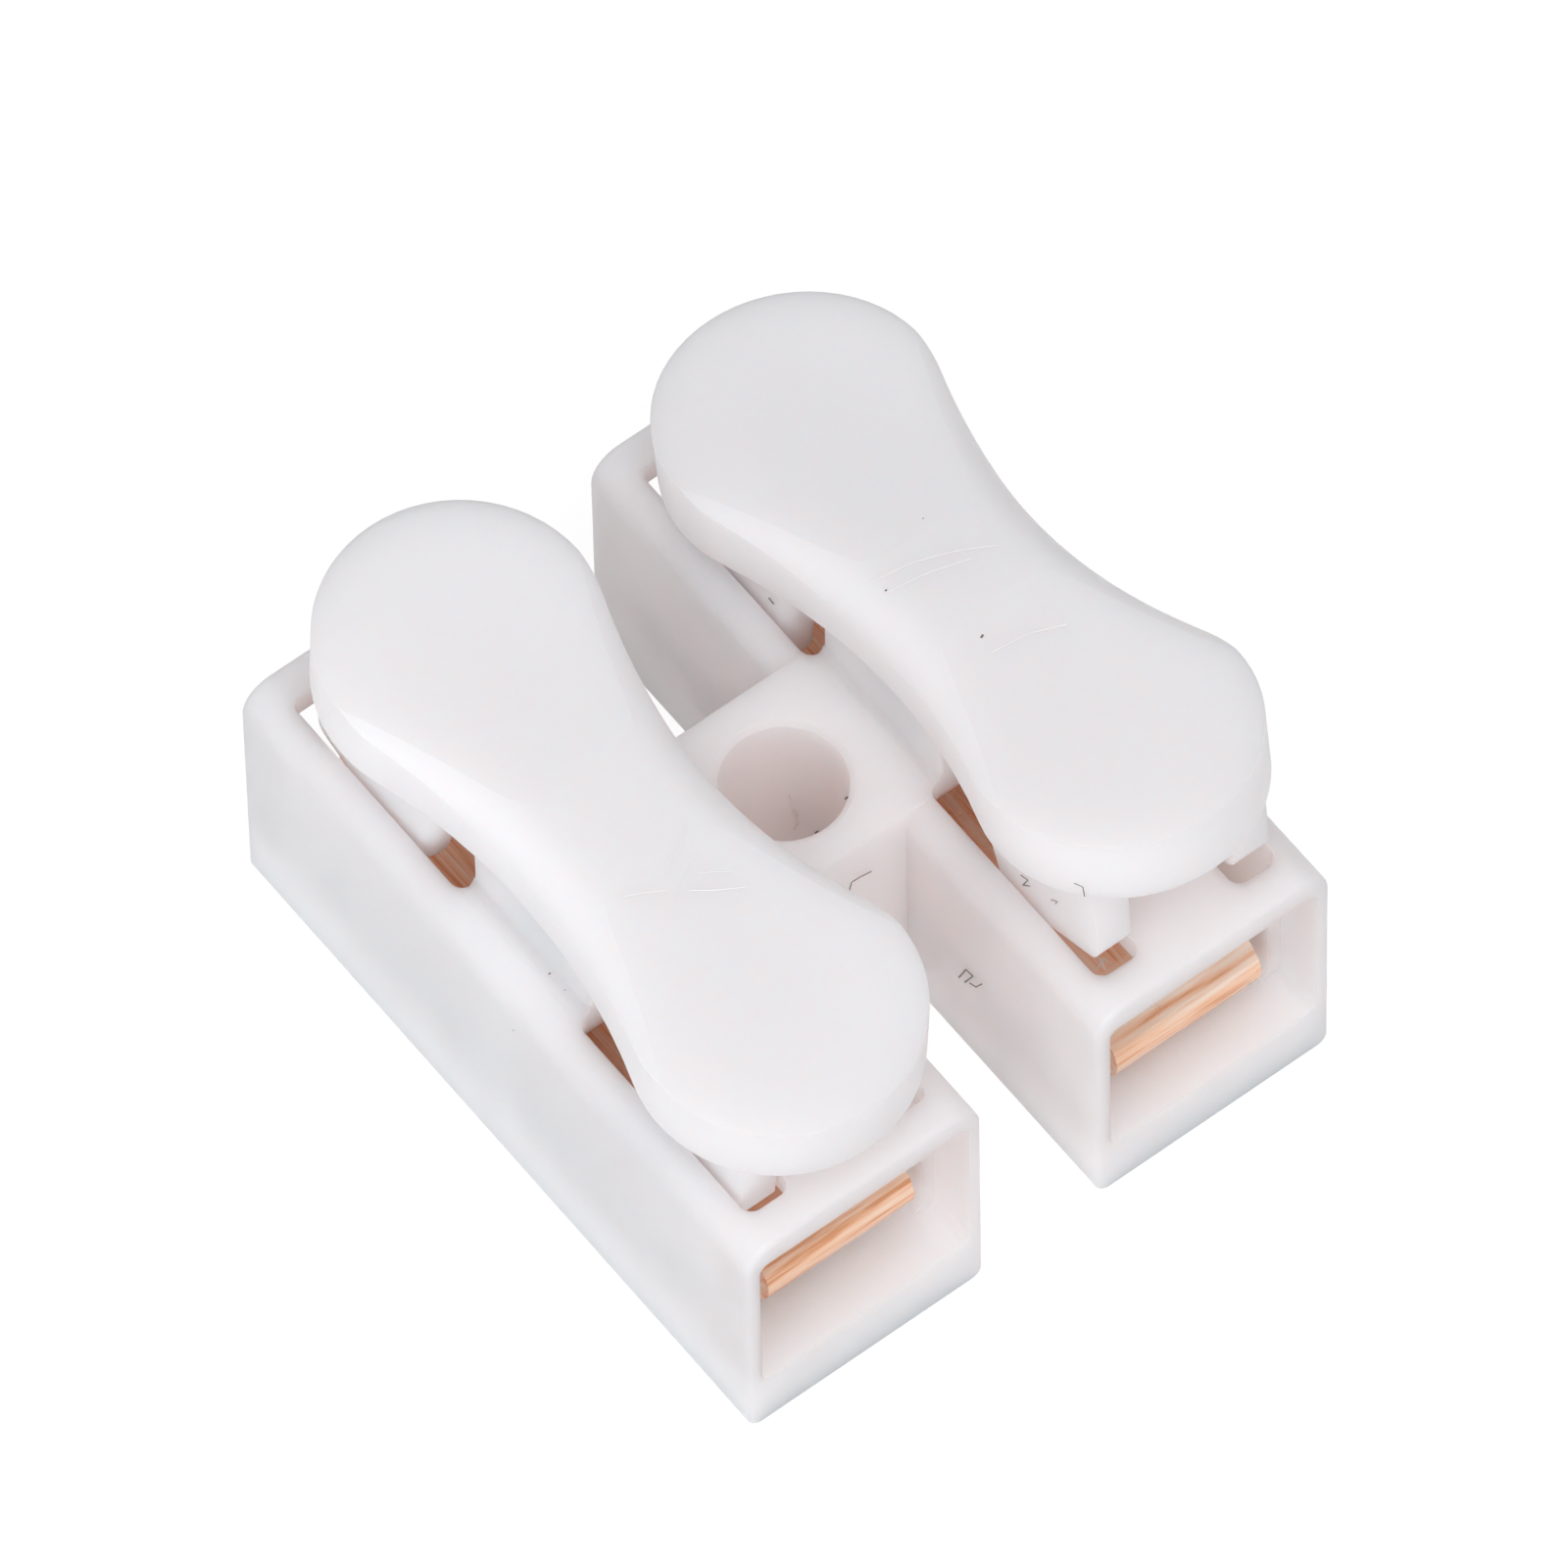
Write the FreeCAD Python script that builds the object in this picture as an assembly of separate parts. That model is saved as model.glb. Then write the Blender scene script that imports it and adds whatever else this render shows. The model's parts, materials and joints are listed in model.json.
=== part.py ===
import FreeCAD, Part
import math
import os

# Two-pole push-in wire connector: a moulded housing with two rocking levers over sprung contacts.
# X runs across the two poles, Y along the wires and Z up. The origin is on the base, under the
# middle of the screw hole. Each pole is built about its own middle and then moved to its place.
# Sizes are in millimetres and angles in degrees.

# Housing. The end radius stays under half the base radius, or their corners fold over themselves.
body_length = 20.0
pole_width = 7.06
pole_gap = 3.5
body_height = 8.1
side_wall = 0.8
roof_thickness = 0.78
floor_thickness = 1.95
top_edge_radius = 0.9
base_edge_radius = 0.35
end_edge_radius = 0.15
cavity_edge_radius = 0.3
mouth_side_wall = 0.38
mouth_depth = 1.4
web_length = 5.1
screw_hole_radius = 1.6
screw_hole_chamfer = 0.15

# Slots in the roof, two at each end of a pole
slot_width = 1.3
slot_inner_edge = 2.3
slot_end_wall = 0.95
slot_corner_radius = 0.35

# Lever, level. The upper edges of its waist are rounded over, and the ends of its pads are crisp.
lever_end_inset = 0.2
lever_disc_radius = 3.6
lever_waist_width = 5.2
lever_thickness = 2.2
lever_rise = 2.38
lever_under_radius = 0.15
lever_waist_rounding = 1.1
lever_rounding_bend = 12.0
pad_radius = 4.9
pad_depth = 0.18

# Lever fins, which reach through the slots
fin_clearance = 0.13
fin_reach = 1.15
fin_toe_lift = 0.65
fin_root_inner_gap = 1.1
fin_heel_gap = 1.8
fin_belly_length = 2.1
fin_toe_gap = 0.75
fin_root_outer_gap = 0.65
fin_toe_radius = 0.5
fin_nose_radius = 0.42

# Lever hub and its snap post. The pivot line lies a little towards the front.
pivot_offset = -0.35
hub_radius = 1.7
hub_sink = 0.15
hub_clearance = 0.05
hub_end_clearance = 0.1
post_width = 1.1
post_length = 0.8
post_side_clearance = 0.1
barb_overhang = 0.4
barb_gap = 0.22
barb_height = 0.65
rock_limit = 12.5

# Two cheeks on the roof, with the hub between them. Their sloping tops stop the lever.
cheek_spread = 4.6
cheek_thickness = 0.8
cheek_top_gap = 0.12
cheek_edge_radius = 0.12
cheek_foot_radius = 0.25

# How each lever leans: positive has the front end down
left_lever_tilt = 3.8
right_lever_tilt = -6.7

# Contact bar: a strip with both ends curled under
bar_side_clearance = 0.53
bar_thickness = 0.4
bar_end_inset = 0.95
curl_radius = 0.95
curl_turn = 270.0
left_bar_top = 4.85
right_bar_top = 4.3

# Spring under the bar, and what guides both
spring_wire = 0.4
spring_side_clearance = 0.28
spring_turns = 3.0
spring_seat_gap = 0.05
spring_pin_clearance = 0.2
spring_pin_height = 0.7
guide_rib_width = 1.2
guide_rib_depth = 0.85
guide_rib_clearance = 0.12

# Places that follow from the sizes
pole_centre = (pole_gap + pole_width) / 2
cavity_half_width = pole_width / 2 - side_wall
cavity_top = body_height - roof_thickness
lever_base = body_height + lever_rise
lever_top = lever_base + lever_thickness
lever_disc_offset = body_length / 2 - lever_end_inset - lever_disc_radius
pivot_height = body_height - hub_sink + hub_radius
hub_width = cheek_spread - 2 * (cheek_thickness + hub_end_clearance)
slot_outer_edge = body_length / 2 - slot_end_wall
fin_bottom = body_height - fin_reach
fin_thickness = slot_width - 2 * fin_clearance
fin_toe = slot_outer_edge - fin_toe_gap
bar_width = 2 * (cavity_half_width - bar_side_clearance)
spring_radius = cavity_half_width - guide_rib_depth - spring_side_clearance - spring_wire / 2
cut_margin = 1.0

X_AXIS = FreeCAD.Vector(1, 0, 0)
Y_AXIS = FreeCAD.Vector(0, 1, 0)
Z_AXIS = FreeCAD.Vector(0, 0, 1)
ENDS = (-1, 1)


def centred_box(width, length, bottom, top):
    """A box about the Z axis between two heights."""
    corner = FreeCAD.Vector(-width / 2, -length / 2, bottom)
    return Part.makeBox(width, length, top - bottom, corner)


def rounded(shape, radius, chosen):
    """The shape with the edges that chosen accepts rounded."""
    return shape.makeFillet(radius, [edge for edge in shape.Edges if chosen(edge)])


def runs_along(edge, axis):
    """Whether a straight edge is parallel to an axis."""
    if edge.Curve.TypeId != "Part::GeomLine":
        return False
    return abs(edge.Curve.Direction.dot(axis)) > 0.999


def tube_blank():
    """One pole's outside: a bar along Y with soft long edges and slightly eased ends."""
    blank = centred_box(pole_width, body_length, 0, body_height)
    blank = rounded(blank, top_edge_radius,
                    lambda edge: runs_along(edge, Y_AXIS) and edge.CenterOfMass.z > body_height / 2)
    blank = rounded(blank, base_edge_radius,
                    lambda edge: runs_along(edge, Y_AXIS) and edge.CenterOfMass.z < base_edge_radius / 2)
    return rounded(blank, end_edge_radius,
                   lambda edge: abs(abs(edge.CenterOfMass.y) - body_length / 2) < 0.001)


def cavity():
    """The space inside one pole, open at both ends, with thinner side walls at the mouths."""
    space = centred_box(2 * cavity_half_width, body_length + 2 * cut_margin, floor_thickness, cavity_top)
    space = rounded(space, cavity_edge_radius, lambda edge: runs_along(edge, Y_AXIS))
    mouth_width = pole_width - 2 * mouth_side_wall
    for end in ENDS:
        mouth = centred_box(mouth_width, 2 * mouth_depth, floor_thickness, cavity_top)
        mouth = rounded(mouth, cavity_edge_radius, lambda edge: runs_along(edge, Y_AXIS))
        mouth.translate(FreeCAD.Vector(0, end * body_length / 2, 0))
        space = space.fuse(mouth)
    return space


def roof_slots():
    """The four slots in one pole's roof, flush with the side walls."""
    slot_length = slot_outer_edge - slot_inner_edge
    slot_x = cavity_half_width - slot_width / 2
    slot_y = slot_inner_edge + slot_length / 2
    slots = []
    for side in ENDS:
        for end in ENDS:
            slot = centred_box(slot_width, slot_length, cavity_top - cut_margin, body_height + cut_margin)
            slot = rounded(slot, slot_corner_radius, lambda edge: runs_along(edge, Z_AXIS))
            slot.translate(FreeCAD.Vector(side * slot_x, end * slot_y, 0))
            slots.append(slot)
    return slots


def hub_seat():
    """The shallow cradle that a lever's round hub rocks in."""
    length = hub_width + 2 * hub_end_clearance
    start = FreeCAD.Vector(-length / 2, pivot_offset, pivot_height)
    return Part.makeCylinder(hub_radius + hub_clearance, length, start, X_AXIS)


def cheek_foot(side):
    """The soft blend between a cheek's outer face and the roof."""
    radius = cheek_foot_radius
    face = side * cheek_spread / 2
    start = -slot_inner_edge
    shoulder = FreeCAD.Vector(face, start, body_height + radius)
    toe = FreeCAD.Vector(face + side * radius, start, body_height)
    sag = radius * (1 - math.sin(math.pi / 4))
    blend = Part.Arc(toe, FreeCAD.Vector(face + side * sag, start, body_height + sag), shoulder)
    root = face - side * cheek_thickness / 2
    corners = [shoulder, FreeCAD.Vector(root, start, shoulder.z), FreeCAD.Vector(root, start, cavity_top),
               FreeCAD.Vector(toe.x, start, cavity_top), toe]
    section = Part.Face(Part.Wire([blend.toShape(), Part.makePolygon(corners)]))
    return section.extrude(Y_AXIS * (2 * slot_inner_edge))


def cheeks():
    """The two upright cheeks: flush with the slots in plan, with a top that slopes both ways."""
    angle = math.radians(rock_limit)
    ridge = pivot_height + (lever_base - pivot_height - cheek_top_gap) / math.cos(angle)
    corners = [(-slot_inner_edge, cavity_top), (slot_inner_edge, cavity_top),
               (slot_inner_edge, ridge - (slot_inner_edge - pivot_offset) * math.tan(angle)),
               (pivot_offset, ridge),
               (-slot_inner_edge, ridge - (slot_inner_edge + pivot_offset) * math.tan(angle))]
    pair = []
    for side in ENDS:
        inner_face = side * (cheek_spread / 2 - cheek_thickness)
        points = [FreeCAD.Vector(inner_face, y, z) for y, z in corners]
        cheek = Part.Face(Part.makePolygon(points + points[:1])).extrude(X_AXIS * (side * cheek_thickness))
        outer_face = side * cheek_spread / 2
        cheek = rounded(cheek, cheek_edge_radius,
                        lambda edge: abs(edge.CenterOfMass.x - outer_face) < 0.001
                        and edge.CenterOfMass.z > body_height / 2 + cavity_top / 2)
        pair += [cheek, cheek_foot(side)]
    return pair


def post_window():
    """The window under the hub, long enough for the snap post to swing."""
    angle = math.radians(rock_limit)
    swing = (pivot_height - cavity_top) * math.tan(angle) + post_length / 2 / math.cos(angle)
    window = centred_box(post_width + 2 * post_side_clearance, 2 * (swing + post_side_clearance),
                         cavity_top - cut_margin, body_height + cut_margin)
    window.translate(Y_AXIS * pivot_offset)
    return window


def spring_pin():
    """The pin on the floor that keeps the spring in place."""
    radius = spring_radius - spring_wire / 2 - spring_pin_clearance
    return Part.makeCylinder(radius, floor_thickness + spring_pin_height)


def guide_ribs():
    """Two upright ribs on the side walls, which the notches of the contact bar run on."""
    ribs = []
    for side in ENDS:
        rib = centred_box(guide_rib_depth + side_wall / 2, guide_rib_width,
                          floor_thickness / 2, body_height - roof_thickness / 2)
        middle = cavity_half_width + side_wall / 4 - guide_rib_depth / 2
        rib.translate(FreeCAD.Vector(side * middle, 0, 0))
        ribs.append(rib)
    return ribs


def moved_to_pole(shape, side):
    """A copy of a pole's shape at its place in the housing."""
    copy = shape.copy()
    copy.translate(FreeCAD.Vector(side * pole_centre, 0, 0))
    return copy


def housing():
    """Both poles, the web between them and the screw hole through the web."""
    web = centred_box(pole_gap + 2 * top_edge_radius, web_length, 0, body_height)
    body = web.fuse([moved_to_pole(tube_blank(), side) for side in ENDS])
    body = body.cut([moved_to_pole(cavity(), side) for side in ENDS])
    added = [spring_pin()] + guide_ribs() + cheeks()
    body = body.fuse([moved_to_pole(shape, side) for shape in added for side in ENDS])
    openings = roof_slots() + [hub_seat(), post_window()]
    body = body.cut([moved_to_pole(shape, side) for shape in openings for side in ENDS])
    hole = Part.makeCylinder(screw_hole_radius, body_height)
    rim = Part.makeCone(screw_hole_radius, screw_hole_radius + screw_hole_chamfer, screw_hole_chamfer,
                        FreeCAD.Vector(0, 0, body_height - screw_hole_chamfer))
    return body.cut([hole, rim]).removeSplitter()


def waist_curve():
    """The radius of the waist's inward curve, which meets both round pads smoothly."""
    waist = lever_waist_width / 2
    return (lever_disc_offset ** 2 + waist ** 2 - lever_disc_radius ** 2) / (2 * (lever_disc_radius - waist))


def lever_outline():
    """The plan of a lever: two round pads joined by a waist that curves in between them."""
    waist = lever_waist_width / 2
    hollow = waist_curve()
    share = lever_disc_radius / (lever_disc_radius + hollow)
    touch_x = (waist + hollow) * share
    touch_y = lever_disc_offset * (1 - share)
    far_y = lever_disc_offset + lever_disc_radius
    arcs = []
    for end in ENDS:
        arcs.append(Part.Arc(FreeCAD.Vector(-touch_x, end * touch_y, lever_base),
                             FreeCAD.Vector(0, end * far_y, lever_base),
                             FreeCAD.Vector(touch_x, end * touch_y, lever_base)))
        arcs.append(Part.Arc(FreeCAD.Vector(end * touch_x, -touch_y, lever_base),
                             FreeCAD.Vector(end * waist, 0, lever_base),
                             FreeCAD.Vector(end * touch_x, touch_y, lever_base)))
    edges = Part.sortEdges([arc.toShape() for arc in arcs])[0]
    return Part.Face(Part.Wire(edges))


def waist_rounding(side):
    """What comes off one upper edge of the waist to round it. It bends more than the waist does in
    plan, so it fades towards the pads."""
    wall = -lever_rounding_bend
    crest = wall - lever_waist_rounding
    free = wall + lever_disc_radius / 2
    lift = lever_waist_rounding * math.sin(math.pi / 4)
    ceiling = lever_waist_rounding + cut_margin
    round_edge = Part.Arc(FreeCAD.Vector(wall, 0, 0), FreeCAD.Vector(crest + lift, 0, lift),
                          FreeCAD.Vector(crest, 0, lever_waist_rounding))
    corners = [FreeCAD.Vector(x, 0, z) for x, z in ((crest, lever_waist_rounding), (crest, ceiling),
                                                    (free, ceiling), (free, 0), (wall, 0))]
    section = Part.Face(Part.Wire([round_edge.toShape(), Part.makePolygon(corners)]))
    reach = math.degrees(math.atan2(body_length / 2, lever_rounding_bend))
    section.rotate(FreeCAD.Vector(0, 0, 0), Z_AXIS, -reach)
    ring = section.revolve(FreeCAD.Vector(0, 0, 0), Z_AXIS, 2 * reach)
    ring.rotate(FreeCAD.Vector(0, 0, 0), Z_AXIS, 90 - 90 * side)
    middle = side * (lever_waist_width / 2 + lever_rounding_bend)
    ring.translate(FreeCAD.Vector(middle, 0, lever_top - lever_waist_rounding))
    return ring


def lever_plate():
    """The top of a lever, with crisp pad ends, a rounded waist and a shallow dish in each pad."""
    plate = lever_outline().extrude(FreeCAD.Vector(0, 0, lever_thickness))
    plate = plate.cut([waist_rounding(side) for side in ENDS])
    plate = rounded(plate, lever_under_radius, lambda edge: abs(edge.CenterOfMass.z - lever_base) < 0.001)
    dish_radius = (pad_radius ** 2 + pad_depth ** 2) / (2 * pad_depth)
    for end in ENDS:
        centre = FreeCAD.Vector(0, end * lever_disc_offset, lever_top - pad_depth + dish_radius)
        plate = plate.cut(Part.makeSphere(dish_radius, centre))
    return plate


def lever_fin(side, end):
    """One fin under a pad: a plate in line with its slot, with a raised and rounded toe."""
    root = lever_base + lever_under_radius
    heel = slot_inner_edge + fin_heel_gap
    root_inner = slot_inner_edge + fin_root_inner_gap
    corners = [(root_inner, root), (heel, fin_bottom),
               (fin_toe - fin_belly_length, fin_bottom), (fin_toe, fin_bottom + fin_toe_lift),
               (slot_outer_edge - fin_root_outer_gap, root)]
    points = [FreeCAD.Vector(-fin_thickness / 2, end * y, z) for y, z in corners]
    fin = Part.Face(Part.makePolygon(points + points[:1])).extrude(X_AXIS * fin_thickness)
    for place, radius in ((fin_toe, fin_toe_radius), ((root_inner + heel) / 2, fin_nose_radius)):
        fin = rounded(fin, radius, lambda edge: abs(edge.CenterOfMass.y - end * place) < 0.001)
    fin.translate(FreeCAD.Vector(side * (cavity_half_width - slot_width / 2), 0, 0))
    return fin


def lever_hub():
    """The round hub below the waist and the barbed post that snaps into the roof."""
    start = FreeCAD.Vector(-hub_width / 2, 0, pivot_height)
    drum = Part.makeCylinder(hub_radius, hub_width, start, X_AXIS)
    neck = centred_box(hub_width, 2 * hub_radius, pivot_height, lever_base + lever_under_radius)
    barb_top = cavity_top - barb_gap
    post = centred_box(post_width, post_length, barb_top - barb_height, pivot_height)
    half = post_width / 2
    profile = [(half, barb_top), (half + barb_overhang, barb_top), (half, barb_top - barb_height)]
    points = [FreeCAD.Vector(x, -post_length / 2, z) for x, z in profile]
    barb = Part.Face(Part.makePolygon(points + points[:1])).extrude(Y_AXIS * post_length)
    other_barb = barb.mirror(FreeCAD.Vector(0, 0, 0), X_AXIS)
    return [drum, neck, post, barb, other_barb]


def lever(side, tilt):
    """One lever, leaning about its pivot."""
    fins = [lever_fin(fin_side, end) for fin_side in ENDS for end in ENDS]
    shape = lever_plate().fuse(fins + lever_hub()).removeSplitter()
    shape.rotate(FreeCAD.Vector(0, 0, pivot_height), X_AXIS, tilt)
    shape.translate(Y_AXIS * pivot_offset)
    return moved_to_pole(shape, side)


def curl_profile(end, top):
    """The section of one curled end, bent under from the end of the strip."""
    centre_y = end * (body_length / 2 - bar_end_inset - curl_radius)
    centre_z = top - curl_radius

    def point(radius, turn):
        angle = math.radians(turn)
        return FreeCAD.Vector(-bar_width / 2, centre_y + end * radius * math.sin(angle),
                              centre_z + radius * math.cos(angle))

    inner_radius = curl_radius - bar_thickness
    outer = Part.Arc(point(curl_radius, 0), point(curl_radius, curl_turn / 2), point(curl_radius, curl_turn))
    inner = Part.Arc(point(inner_radius, curl_turn), point(inner_radius, curl_turn / 2),
                     point(inner_radius, 0))
    tip = Part.makeLine(point(curl_radius, curl_turn), point(inner_radius, curl_turn))
    root = Part.makeLine(point(inner_radius, 0), point(curl_radius, 0))
    return Part.Face(Part.Wire([outer.toShape(), tip, inner.toShape(), root]))


def contact_bar(side, top):
    """One contact: a flat strip curled under at both ends, notched at the guide ribs."""
    flat_length = body_length - 2 * (bar_end_inset + curl_radius)
    strip = centred_box(bar_width, flat_length, top - bar_thickness, top)
    curls = [curl_profile(end, top).extrude(X_AXIS * bar_width) for end in ENDS]
    rib_face = cavity_half_width - guide_rib_depth
    notch_depth = bar_width / 2 - rib_face + guide_rib_clearance
    notches = []
    for notch_side in ENDS:
        notch = centred_box(2 * notch_depth, guide_rib_width + 2 * guide_rib_clearance,
                            top - 2 * bar_thickness, top + bar_thickness)
        notch.translate(FreeCAD.Vector(notch_side * bar_width / 2, 0, 0))
        notches.append(notch)
    return moved_to_pole(strip.fuse(curls).cut(notches).removeSplitter(), side)


def spring(side, bar_top):
    """The coil spring between the floor and the contact bar."""
    bottom = floor_thickness + spring_seat_gap + spring_wire / 2
    top = bar_top - bar_thickness - spring_seat_gap - spring_wire / 2
    path = Part.makeHelix((top - bottom) / spring_turns, top - bottom, spring_radius)
    section = Part.makeCircle(spring_wire / 2, FreeCAD.Vector(spring_radius, 0, 0), Y_AXIS)
    coil = Part.Wire(path).makePipeShell([Part.Wire(section)], True, True)
    coil.translate(FreeCAD.Vector(0, 0, bottom))
    return moved_to_pole(coil, side)


def save(name, shape):
    """Writes one piece as its own file."""
    shape.exportStep(os.path.join("parts", name + ".step"))


os.makedirs("parts", exist_ok=True)
save("housing", housing())
POLES = (("left", -1, left_lever_tilt, left_bar_top), ("right", 1, right_lever_tilt, right_bar_top))
for pole, pole_side, pole_tilt, pole_bar_top in POLES:
    save("lever_" + pole, lever(pole_side, pole_tilt))
    save("contact_bar_" + pole, contact_bar(pole_side, pole_bar_top))
    save("spring_" + pole, spring(pole_side, pole_bar_top))
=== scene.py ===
import json
import math

import bpy
from mathutils import Matrix, Vector
from mathutils.bvhtree import BVHTree


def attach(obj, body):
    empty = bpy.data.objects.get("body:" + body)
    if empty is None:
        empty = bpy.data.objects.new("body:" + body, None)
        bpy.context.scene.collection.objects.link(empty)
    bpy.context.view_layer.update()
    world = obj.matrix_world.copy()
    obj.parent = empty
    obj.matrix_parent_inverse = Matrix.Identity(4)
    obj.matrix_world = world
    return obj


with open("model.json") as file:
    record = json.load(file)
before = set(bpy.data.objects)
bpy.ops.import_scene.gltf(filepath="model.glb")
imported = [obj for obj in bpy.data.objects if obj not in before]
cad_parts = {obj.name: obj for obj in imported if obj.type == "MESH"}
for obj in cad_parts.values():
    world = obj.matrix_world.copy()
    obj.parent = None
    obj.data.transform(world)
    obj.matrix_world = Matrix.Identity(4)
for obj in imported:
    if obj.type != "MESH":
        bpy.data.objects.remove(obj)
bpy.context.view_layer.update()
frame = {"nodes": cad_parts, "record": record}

MM = 0.001

# Camera, from a perspective fit to the corners of the housing in the photo
camera_azimuth = math.radians(-36.45)
camera_elevation = math.radians(59.09)
camera_roll = math.radians(-1.357)
camera_distance = 690.0 * MM
camera_target = Vector((2.837, 3.822, 0.0)) * MM
camera_focal_pixels = 28969.0
image_width = 1600.0
sensor_width = 36.0
camera_near_limit = 0.01
camera_far_limit = 10.0

# Light. White nylon passes light on many times before it fades, so the hollows need the bounces.
light_bounces = 16
ambient_level = 0.45
cool_white = (1.0, 0.978, 1.0)
lamp_target = Vector((0, 0, 0.005))

# Lamps, each with its place, size and power
LAMPS = {
    "key": (Vector((-0.42, -0.1, 0.16)), 0.35, 0.50),
    "front": (Vector((-0.183, -0.248, 0.515)), 0.4, 1.60),
    "side": (Vector((0.4, -0.1, 0.3)), 0.3, 0.04),
}

# Floor
floor_half_width = 1.5
floor_drop = 0.02 * MM
floor_pale = (0.9, 0.9, 0.9, 1.0)
floor_shadowed = (0.22, 0.22, 0.22, 1.0)
floor_glow = 0.86

# Nylon
nylon_pale = (0.970, 0.955, 0.958)
nylon_full = (0.985, 0.970, 0.973)
# Painted warm shade: the colour that hollows and recesses take, standing in for light bounced inside the
# nylon.
nylon_painted_hollow_shade = (1.0, 0.94, 0.918)
painted_shade_reach = 6.0 * MM
soak_depth = 3.0 * MM
soak_shares = (1.0, 0.8, 0.74)
cloud_scale = 260.0
flow_stretch = (90, 900, 90)
flow_height = 0.03 * MM
gloss_scale = 900.0
grain_scale = 1500.0
grain_height = 0.02 * MM

# Copper. The rolled lines run along the flat strip and across its curled ends; their dark and light streaks
# are partly the metal's rolled tone and partly painted shade and painted highlight.
# Dark and light streak colours: part rolled tone, part painted shade and painted highlight.
copper_tone_and_painted_shade = (0.78, 0.36, 0.18)
copper_mid = (0.95, 0.58, 0.38)
copper_tone_and_painted_highlight = (0.98, 0.80, 0.66)
flat_line_stretch = (7000, 220, 220)
curl_line_stretch = (260, 4200, 4200)
line_height = 0.02 * MM
patch_scale = 520.0
curl_start = 7.0 * MM
curl_blend = 0.3 * MM

# Spring steel
steel_dark = (0.42, 0.42, 0.43)
steel_light = (0.66, 0.66, 0.67)
wire_grain_scale = 2500.0

# Kinds of mark: two colours, and how far the line is raised as a share of its radius
MARK_KINDS = {
    "dirt": ((0.20, 0.18, 0.15), (0.34, 0.32, 0.27), 0.2),
    "lint": ((0.80, 0.76, 0.72), (0.90, 0.88, 0.85), 0.4),
    # Pale lines: real scratches, and painted highlights along the far lever's creases.
    "scratch_and_painted_highlight": ((0.97, 0.965, 0.975), (0.99, 0.99, 0.99), -0.3),
}
mark_grain_scale = 2600.0
mark_steps = 7
mark_jump = 0.4 * MM

# Marks seen in the photo: kind, width in millimetres, and the pixels that each one runs through
MARKS = {
    "web_fibre": ("dirt", 0.035, [(866, 911), (869, 900), (877, 895), (889, 889)]),
    "bore_hair_a": ("lint", 0.04, [(806, 811), (809, 824), (813, 838), (811, 846)]),
    "bore_hair_b": ("lint", 0.03, [(808, 822), (814, 830), (815, 841), (810, 846)]),
    "tube_tangle_a": ("dirt", 0.05, [(979, 997), (986, 989), (993, 996), (985, 1002)]),
    "tube_tangle_b": ("dirt", 0.04, [(990, 1003), (996, 1007), (1002, 1004)]),
    "slot_curl_a": ("lint", 0.04, [(1111, 982), (1118, 975), (1124, 983), (1128, 990)]),
    "slot_curl_b": ("lint", 0.04, [(1119, 989), (1126, 978), (1134, 985)]),
    "fin_mark_a": ("dirt", 0.035, [(1042, 893), (1049, 898), (1044, 903), (1051, 904)]),
    "fin_mark_b": ("dirt", 0.03, [(1073, 918), (1079, 920), (1077, 922)]),
    "fin_mark_c": ("dirt", 0.03, [(1096, 901), (1105, 905), (1107, 916)]),
    "far_speck_a": ("dirt", 0.06, [(1001, 651), (1003, 648)]),
    "far_speck_b": ("dirt", 0.05, [(903, 603), (905, 602)]),
    "far_speck_c": ("dirt", 0.04, [(941, 530), (942, 529)]),
    "near_speck_a": ("dirt", 0.05, [(560, 994), (562, 993)]),
    "near_speck_b": ("dirt", 0.04, [(576, 1011), (577, 1010)]),
    "roof_speck": ("dirt", 0.04, [(523, 1050), (524, 1051)]),
    "bore_rim_mark_a": ("dirt", 0.06, [(863, 815), (867, 812)]),
    "bore_rim_mark_b": ("dirt", 0.05, [(832, 850), (835, 848)]),
    "fin_back_mark": ("dirt", 0.06, [(785, 610), (790, 616)]),
    "near_scratch_long_a": ("scratch_and_painted_highlight", 0.045, [(634, 915), (655, 911), (680, 908)]),
    "near_scratch_long_b": ("scratch_and_painted_highlight", 0.05, [(703, 908), (730, 908), (760, 905)]),
    "near_scratch_faint": ("scratch_and_painted_highlight", 0.03, [(712, 891), (730, 889), (746, 889)]),
    "near_scratch_cross_a": ("scratch_and_painted_highlight", 0.03, [(681, 893), (692, 868), (699, 842)]),
    "near_scratch_cross_b": ("scratch_and_painted_highlight", 0.025, [(686, 930), (692, 905), (706, 880)]),
    # Painted highlights: pale lines along the creases where the far lever's pads meet its waist.
    "far_crease_painted_highlight_a": ("scratch_and_painted_highlight", 0.035, [(885, 596), (930, 574), (975, 562), (1018, 556)]),
    "far_crease_painted_highlight_b": ("scratch_and_painted_highlight", 0.03, [(902, 606), (945, 585), (990, 570)]),
    "far_crease_painted_highlight_c": ("scratch_and_painted_highlight", 0.035, [(1012, 665), (1050, 646), (1088, 637)]),
}


def camera_axes():
    """The camera's right, up and backward directions."""
    away = Vector((math.sin(camera_azimuth) * math.cos(camera_elevation),
                   -math.cos(camera_azimuth) * math.cos(camera_elevation),
                   math.sin(camera_elevation)))
    level_right = (-away).cross(Vector((0, 0, 1))).normalized()
    level_up = level_right.cross(-away)
    right = level_right * math.cos(camera_roll) + level_up * math.sin(camera_roll)
    up = level_up * math.cos(camera_roll) - level_right * math.sin(camera_roll)
    return right, up, away


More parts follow.
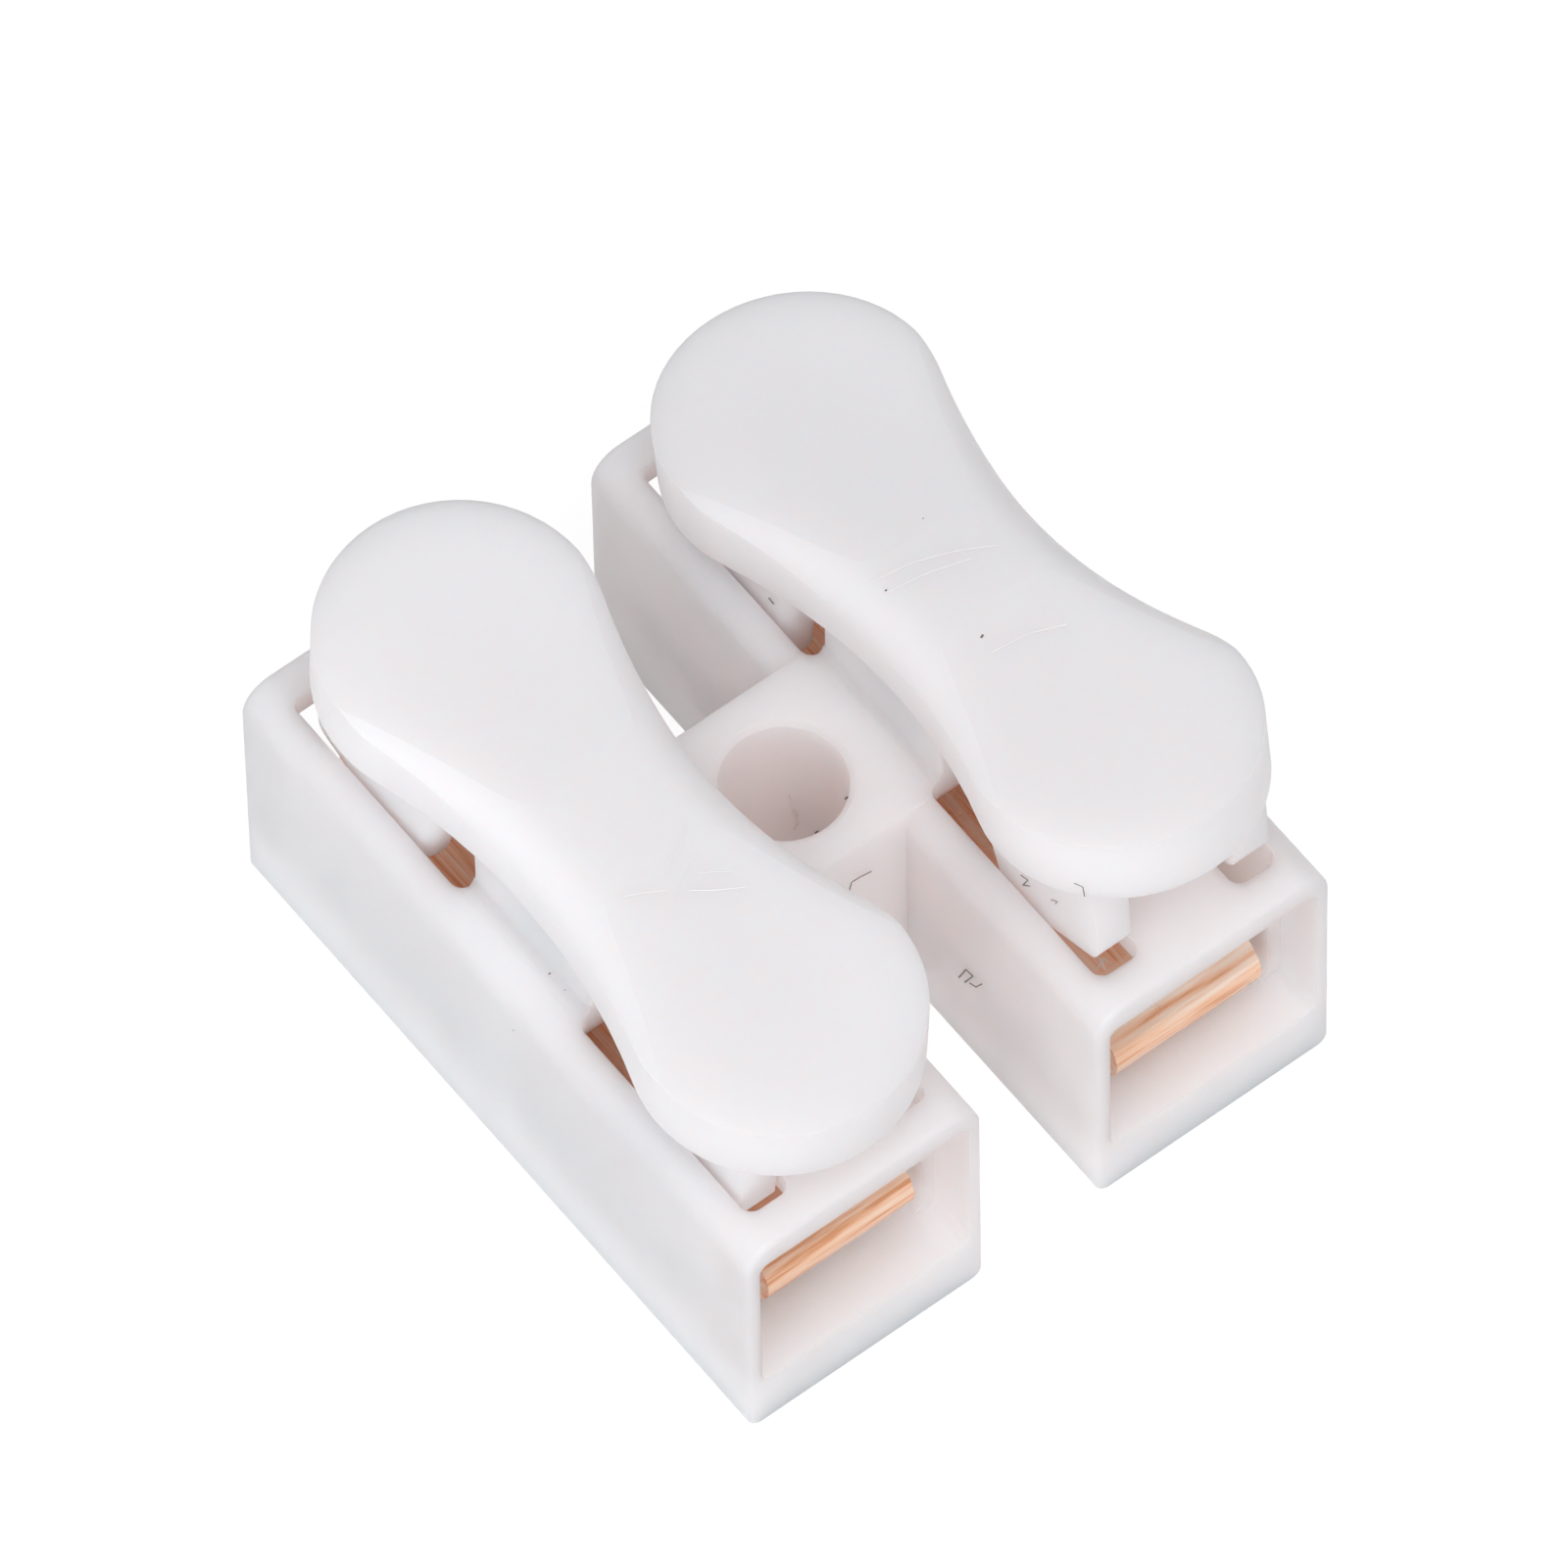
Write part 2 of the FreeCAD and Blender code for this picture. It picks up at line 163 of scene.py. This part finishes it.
def make_camera():
    """A long lens that looks down on the front left corner."""
    right, up, away = camera_axes()
    data = bpy.data.cameras.new("camera")
    data.sensor_width = sensor_width
    data.lens = camera_focal_pixels / image_width * sensor_width
    data.clip_start = camera_near_limit
    data.clip_end = camera_far_limit
    camera = bpy.data.objects.new("camera", data)
    camera.matrix_world = Matrix((right, up, away)).transposed().to_4x4()
    camera.location = camera_target + away * camera_distance
    bpy.context.scene.collection.objects.link(camera)
    bpy.context.scene.camera = camera


class Nodes:
    """A small helper to write the nodes of a material or of the world as nested calls."""

    def __init__(self, owner, output_kind="ShaderNodeOutputMaterial"):
        owner.use_nodes = True
        self.tree = owner.node_tree
        self.tree.nodes.clear()
        self.output = self.tree.nodes.new(output_kind)

    def feed(self, socket, value):
        """Links a socket to another node's output, or sets its value."""
        if isinstance(value, bpy.types.NodeSocket):
            self.tree.links.new(value, socket)
        else:
            socket.default_value = value

    def add(self, kind, settings=None, **inputs):
        """A node with its properties set and its sockets given a value or a link."""
        node = self.tree.nodes.new(kind)
        for key, value in (settings or {}).items():
            setattr(node, key, value)
        for key, value in inputs.items():
            self.feed(node.inputs[key.replace("_", " ")], value)
        return node

    def calculate(self, operation, *values):
        """The result of a sum on one or two values."""
        node = self.add("ShaderNodeMath", {"operation": operation})
        for socket, value in zip(node.inputs, values):
            self.feed(socket, value)
        return node.outputs[0]

    def place(self, stretch=(1, 1, 1)):
        """Object coordinates, stretched for each axis."""
        coordinates = self.add("ShaderNodeTexCoord").outputs["Object"]
        return self.add("ShaderNodeMapping", Vector=coordinates, Scale=stretch).outputs["Vector"]

    def noise(self, scale, detail=3.0, roughness=0.5, stretch=(1, 1, 1)):
        """Soft noise from 0 to 1."""
        node = self.add("ShaderNodeTexNoise", Vector=self.place(stretch), Scale=scale, Detail=detail,
                        Roughness=roughness)
        return node.outputs["Fac"]

    def span(self, value, low, high, new_low=0.0, new_high=1.0):
        """A value moved from one range to another."""
        node = self.add("ShaderNodeMapRange", Value=value, From_Min=low, From_Max=high, To_Min=new_low,
                        To_Max=new_high)
        return node.outputs["Result"]

    def ramp(self, value, stops):
        """A colour ramp from pairs of place and colour."""
        node = self.add("ShaderNodeValToRGB", Fac=value)
        for place, colour in stops[1:-1]:
            node.color_ramp.elements.new(place)
        for element, (place, colour) in zip(node.color_ramp.elements, stops):
            element.position = place
            element.color = (*colour, 1.0)
        return node.outputs["Color"]

    def blend(self, share, first, second):
        """Two colours mixed by a share."""
        node = self.add("ShaderNodeMix", {"data_type": "RGBA"})
        colours = [socket for socket in node.inputs if socket.type == "RGBA"]
        self.feed(node.inputs[0], share)
        self.feed(colours[0], first)
        self.feed(colours[1], second)
        return [socket for socket in node.outputs if socket.type == "RGBA"][0]

    def bump(self, height, strength, distance, **inputs):
        """A surface normal tilted by a height."""
        node = self.add("ShaderNodeBump", Height=height, Strength=strength, Distance=distance, **inputs)
        return node.outputs["Normal"]

    def either(self, share, first, second):
        """Two shaders mixed by a share."""
        node = self.add("ShaderNodeMixShader", Fac=share)
        self.feed(node.inputs[1], first.outputs[0])
        self.feed(node.inputs[2], second.outputs[0])
        return node

    def both(self, first, second):
        """Two shaders added up."""
        node = self.add("ShaderNodeAddShader")
        self.feed(node.inputs[0], first.outputs[0])
        self.feed(node.inputs[1], second.outputs[0])
        return node

    def finish(self, shader):
        """Sends the last shader to the output."""
        self.tree.links.new(shader.outputs[0], self.output.inputs["Surface"])


def nylon_material():
    """Milky moulded nylon: light soaks in, hollows get a painted warm shade through an occlusion mask, and
    faint flow bands cross the levers.
    """
    material = bpy.data.materials.new("nylon")
    n = Nodes(material)
    cloud = n.noise(cloud_scale, 4.0, 0.55)
    flow = n.noise(1.0, 2.0, stretch=flow_stretch)
    mottle = n.span(n.calculate("ADD", cloud, flow), 0.8, 1.2)
    surface = n.ramp(mottle, [(0.0, nylon_pale), (1.0, nylon_full)])
    # Painted shade: an occlusion mask blends the warm hollow colour into recesses and corners.
    painted_shade_occlusion = n.add("ShaderNodeAmbientOcclusion", {"samples": 1, "only_local": True}, Distance=painted_shade_reach)
    colour = n.blend(n.span(painted_shade_occlusion.outputs["AO"], 0.35, 0.9), (*nylon_painted_hollow_shade, 1.0), surface)
    gloss = n.span(n.noise(gloss_scale), 0.3, 0.7, 0.36, 0.5)
    waves = n.bump(flow, 0.12, flow_height)
    relief = n.bump(n.noise(grain_scale, 4.0, 0.6), 0.2, grain_height, Normal=waves)
    n.finish(n.add("ShaderNodeBsdfPrincipled", Base_Color=colour, Roughness=gloss, Normal=relief,
                   Subsurface_Weight=1.0, Subsurface_Radius=soak_shares, Subsurface_Scale=soak_depth,
                   IOR=1.5, Specular_IOR_Level=0.4))
    return material


def copper_material():
    """Rolled copper strip: fine lines run along it and round its curled ends, with dull patches; the dark
    and light streaks of colour along the lines are partly rolled tone and partly painted shade and painted
    highlight.
    """
    material = bpy.data.materials.new("contact_copper")
    n = Nodes(material)
    along = n.noise(1.0, 3.0, 0.6, stretch=flat_line_stretch)
    across = n.noise(1.0, 3.0, 0.6, stretch=curl_line_stretch)
    lengthwise = n.add("ShaderNodeSeparateXYZ", Vector=n.place()).outputs["Y"]
    curled = n.span(n.calculate("ABSOLUTE", lengthwise), curl_start, curl_start + curl_blend)
    lines = n.add("ShaderNodeMix", {"data_type": "FLOAT"}, Factor=curled, A=along, B=across)
    lines = lines.outputs["Result"]
    # Painted shade and painted highlight: the streak noise runs the colour from dark to light copper along
    # the roll.
    colour = n.ramp(lines, [(0.36, copper_tone_and_painted_shade), (0.47, copper_mid), (0.66, copper_tone_and_painted_highlight)])
    gloss = n.span(n.noise(patch_scale), 0.35, 0.65, 0.24, 0.42)
    n.finish(n.add("ShaderNodeBsdfPrincipled", Base_Color=colour, Roughness=gloss,
                   Normal=n.bump(lines, 0.35, line_height), Metallic=0.45))
    return material


def steel_material():
    """Drawn spring wire."""
    material = bpy.data.materials.new("spring_steel")
    n = Nodes(material)
    grain = n.noise(wire_grain_scale)
    colour = n.ramp(grain, [(0.35, steel_dark), (0.65, steel_light)])
    gloss = n.span(grain, 0.3, 0.7, 0.25, 0.4)
    n.finish(n.add("ShaderNodeBsdfPrincipled", Base_Color=colour, Roughness=gloss, Metallic=1.0))
    return material


def mark_material(name, dull, strong):
    """Lint, dirt, a scraped line, and a pale line as painted highlight, each uneven along its length."""
    material = bpy.data.materials.new(name)
    n = Nodes(material)
    colour = n.ramp(n.noise(mark_grain_scale, 2.0), [(0.35, dull), (0.65, strong)])
    n.finish(n.add("ShaderNodeBsdfPrincipled", Base_Color=colour, Roughness=0.6))
    return material


def dress(node_name, material):
    """Gives a carried-over node its finish."""
    node = frame["nodes"][node_name]
    if not node.material_slots:
        node.data.materials.append(material)
    for slot in node.material_slots:
        slot.link = "OBJECT"
        slot.material = material


def floor_material():
    """White in the picture and in reflections, with the object's shadow, and plain for its light."""
    material = bpy.data.materials.new("floor_white")
    n = Nodes(material)
    path = n.add("ShaderNodeLightPath").outputs
    plain = n.add("ShaderNodeBsdfDiffuse", Color=floor_pale)
    shadowed = n.add("ShaderNodeBsdfDiffuse", Color=floor_shadowed)
    seen = n.both(shadowed, n.add("ShaderNodeEmission", Strength=floor_glow))
    white = n.add("ShaderNodeEmission", Strength=1.0)
    mirrored = n.calculate("MAXIMUM", path["Is Glossy Ray"], path["Is Transmission Ray"])
    n.finish(n.either(mirrored, n.either(path["Is Camera Ray"], plain, seen), white))
    return material


def make_floor():
    """A wide level floor, just under the object."""
    half = floor_half_width
    corners = [(-half, -half, 0), (half, -half, 0), (half, half, 0), (-half, half, 0)]
    mesh = bpy.data.meshes.new("floor")
    mesh.from_pydata(corners, [], [(0, 1, 2, 3)])
    mesh.materials.append(floor_material())
    floor = bpy.data.objects.new("floor", mesh)
    floor.location.z = -floor_drop
    bpy.context.scene.collection.objects.link(floor)


def make_world():
    """An even pale surround, with a plain one where it is seen directly or through something clear."""
    world = bpy.data.worlds.new("studio")
    bpy.context.scene.world = world
    n = Nodes(world, "ShaderNodeOutputWorld")
    path = n.add("ShaderNodeLightPath").outputs
    ambient = n.add("ShaderNodeBackground", Color=(*cool_white, 1.0), Strength=ambient_level)
    plain = n.add("ShaderNodeBackground", Strength=1.0)
    seen = n.calculate("MAXIMUM", path["Is Camera Ray"], path["Is Transmission Ray"])
    n.finish(n.either(seen, ambient, plain))


def make_lamp(name, place, size, power):
    """A soft square lamp aimed at the object."""
    data = bpy.data.lights.new(name, "AREA")
    data.shape = "SQUARE"
    data.size = size
    data.energy = power
    data.color = cool_white
    lamp = bpy.data.objects.new(name, data)
    lamp.location = place
    lamp.rotation_euler = (lamp_target - place).to_track_quat("-Z", "Y").to_euler()
    bpy.context.scene.collection.objects.link(lamp)


def surface_trees():
    """Each carried-over node's surface, ready to be hit by a ray."""
    trees = {}
    for node_name, node in frame["nodes"].items():
        corners = [vertex.co for vertex in node.data.vertices]
        faces = [tuple(face.vertices) for face in node.data.polygons]
        trees[node_name] = BVHTree.FromPolygons(corners, faces)
    return trees


def seen_at(pixel, trees):
    """The place, normal and node that show at a pixel of the photo, or None beside the object."""
    right, up, away = camera_axes()
    across = (pixel[0] - image_width / 2) / camera_focal_pixels
    upward = (image_width / 2 - pixel[1]) / camera_focal_pixels
    direction = (right * across + up * upward - away).normalized()
    start = camera_target + away * camera_distance
    nearest = None
    for node_name, tree in trees.items():
        place, normal, index, distance = tree.ray_cast(start, direction)
        if place is not None and (nearest is None or distance < nearest[3]):
            nearest = (place, normal, node_name, distance)
    return nearest


def carrier_of(node_name):
    """The body that holds a node."""
    for body, nodes in frame["record"]["behaviour"]["bodies"].items():
        if node_name in nodes:
            return body


def spaced(pixels):
    """The pixels with even steps filled in between them."""
    path = []
    for (x0, y0), (x1, y1) in zip(pixels, pixels[1:]):
        for step in range(mark_steps):
            share = step / mark_steps
            path.append((x0 + (x1 - x0) * share, y0 + (y1 - y0) * share))
    return path + [pixels[-1]]


def longest_run(hits):
    """The longest stretch of hits that stays on one surface, with no jump through the air."""
    runs = [hits[:1]]
    for hit in hits[1:]:
        last = runs[-1][-1]
        if hit[2] == last[2] and (hit[0] - last[0]).length < mark_jump:
            runs[-1].append(hit)
        else:
            runs.append([hit])
    return max(runs, key=len)


def make_mark(name, width, pixels, material, lift, trees):
    """A fine line on the surface seen at its pixels, raised by a share of its radius."""
    seen = [seen_at(pixel, trees) for pixel in spaced(pixels)]
    hits = longest_run([hit for hit in seen if hit])
    curve = bpy.data.curves.new(name, "CURVE")
    curve.dimensions = "3D"
    curve.bevel_depth = width * MM / 2
    curve.bevel_resolution = 1
    curve.use_fill_caps = True
    spline = curve.splines.new("NURBS")
    spline.points.add(len(hits) - 1)
    for point, (place, normal, node_name, distance) in zip(spline.points, hits):
        point.co = (*(place + normal * curve.bevel_depth * lift), 1.0)
    spline.order_u = 3
    spline.use_endpoint_u = True
    curve.materials.append(material)
    piece = bpy.data.objects.new(name, curve)
    bpy.context.scene.collection.objects.link(piece)
    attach(piece, carrier_of(hits[0][2]))


def dress_nodes():
    """Gives every carried-over node the finish of its kind."""
    nylon = nylon_material()
    copper = copper_material()
    steel = steel_material()
    for node_name in frame["nodes"]:
        if node_name.startswith("contact_bar"):
            dress(node_name, copper)
        elif node_name.startswith("spring"):
            dress(node_name, steel)
        else:
            dress(node_name, nylon)


def make_marks():
    """The dirt, lint and scratches that the photo shows, and painted highlight lines along the far lever's
    creases.
    """
    finishes = {kind: mark_material(kind, dull, strong) for kind, (dull, strong, lift) in MARK_KINDS.items()}
    trees = surface_trees()
    for name, (kind, width, pixels) in MARKS.items():
        make_mark(name, width, pixels, finishes[kind], MARK_KINDS[kind][2], trees)


make_camera()
make_floor()
make_world()
for lamp_name, (lamp_place, lamp_size, lamp_power) in LAMPS.items():
    make_lamp(lamp_name, lamp_place, lamp_size, lamp_power)
bpy.context.scene.view_settings.view_transform = "Standard"
bpy.context.scene.cycles.diffuse_bounces = light_bounces
bpy.context.scene.cycles.max_bounces = light_bounces
dress_nodes()
make_marks()
